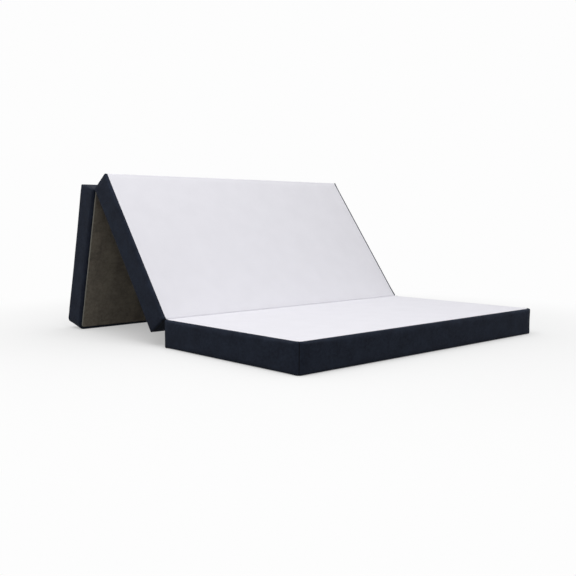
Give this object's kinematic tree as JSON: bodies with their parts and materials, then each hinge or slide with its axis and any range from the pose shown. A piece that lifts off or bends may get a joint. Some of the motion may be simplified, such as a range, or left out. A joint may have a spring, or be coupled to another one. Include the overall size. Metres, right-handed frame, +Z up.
{
  "type": "folding mattress",
  "caption": "Foam mattress in hinged panels, stood with one panel flat and the other two folded up as a leaning back.",
  "frame": {"origin": "middle of the underside of the whole object as it stands, on the floor", "axes": "+Z up, +Y from the flat panel's free edge towards the leaning panels, +X across the width to the zip side"},
  "size_m": [1.2368, 1.2995, 0.5955],
  "materials": {
    "white_knit": "fine white knitted cover",
    "navy_weave": "matt dark navy woven border",
    "brown_weave": "matt dark brown grippy base cloth",
    "support_foam": "open cell polyurethane foam",
    "comfort_foam": "soft viscoelastic foam",
    "zip_tape": "woven zip tape",
    "zip_coil": "nylon coil",
    "zip_metal": "dark coated zinc"
  },
  "bodies": {
    "front_panel": {"front_support_foam": "support_foam", "front_comfort_foam": "comfort_foam", "front_top_cover": "white_knit", "front_base_cover": "brown_weave", "front_left_border": "navy_weave", "front_right_border": "navy_weave", "front_front_border": "navy_weave", "front_rear_border": "navy_weave", "front_zip_tape": "zip_tape", "front_zip_coil": "zip_coil", "front_hinge_flap": "white_knit"},
    "middle_panel": {"middle_support_foam": "support_foam", "middle_comfort_foam": "comfort_foam", "middle_top_cover": "white_knit", "middle_base_cover": "brown_weave", "middle_left_border": "navy_weave", "middle_right_border": "navy_weave", "middle_lower_border": "navy_weave", "middle_upper_border": "navy_weave", "middle_zip_tape": "zip_tape", "middle_zip_coil": "zip_coil", "middle_lower_hinge_flap": "white_knit", "middle_upper_hinge_flap": "navy_weave"},
    "end_panel": {"end_support_foam": "support_foam", "end_comfort_foam": "comfort_foam", "end_top_cover": "white_knit", "end_base_cover": "brown_weave", "end_left_border": "navy_weave", "end_right_border": "navy_weave", "end_upper_border": "navy_weave", "end_lower_border": "navy_weave", "end_zip_tape": "zip_tape", "end_zip_coil": "zip_coil", "end_hinge_flap": "navy_weave"},
    "front_zip_slider": {"front_zip_slider": "zip_metal", "front_zip_pull": "zip_metal"},
    "middle_zip_slider": {"middle_zip_slider": "zip_metal", "middle_zip_pull": "zip_metal"},
    "end_zip_slider": {"end_zip_slider": "zip_metal", "end_zip_pull": "zip_metal"}
  },
  "joints": [
    {"name": "first_fold", "type": "hinge", "parent": "front_panel", "child": "middle_panel", "pos_m": [0, -0.01333, 0.0979], "axis": [1, 0, 0], "range_deg": [-54, 126]},
    {"name": "second_fold", "type": "hinge", "parent": "middle_panel", "child": "end_panel", "pos_m": [0, 0.42939, 0.54001], "axis": [1, 0, 0], "range_deg": [-49.29, 130.7]},
    {"name": "front_zip_slide", "type": "slide", "parent": "front_panel", "child": "front_zip_slider", "axis": [0, 1, 0], "range_m": [0, 0.467]},
    {"name": "middle_zip_slide", "type": "slide", "parent": "middle_panel", "child": "middle_zip_slider", "axis": [0, 0.5878, 0.809], "range_m": [0, 0.447]},
    {"name": "end_zip_slide", "type": "slide", "parent": "end_panel", "child": "end_zip_slider", "axis": [0, 0.23, -0.9732], "range_m": [0, 0.387]}
  ]
}
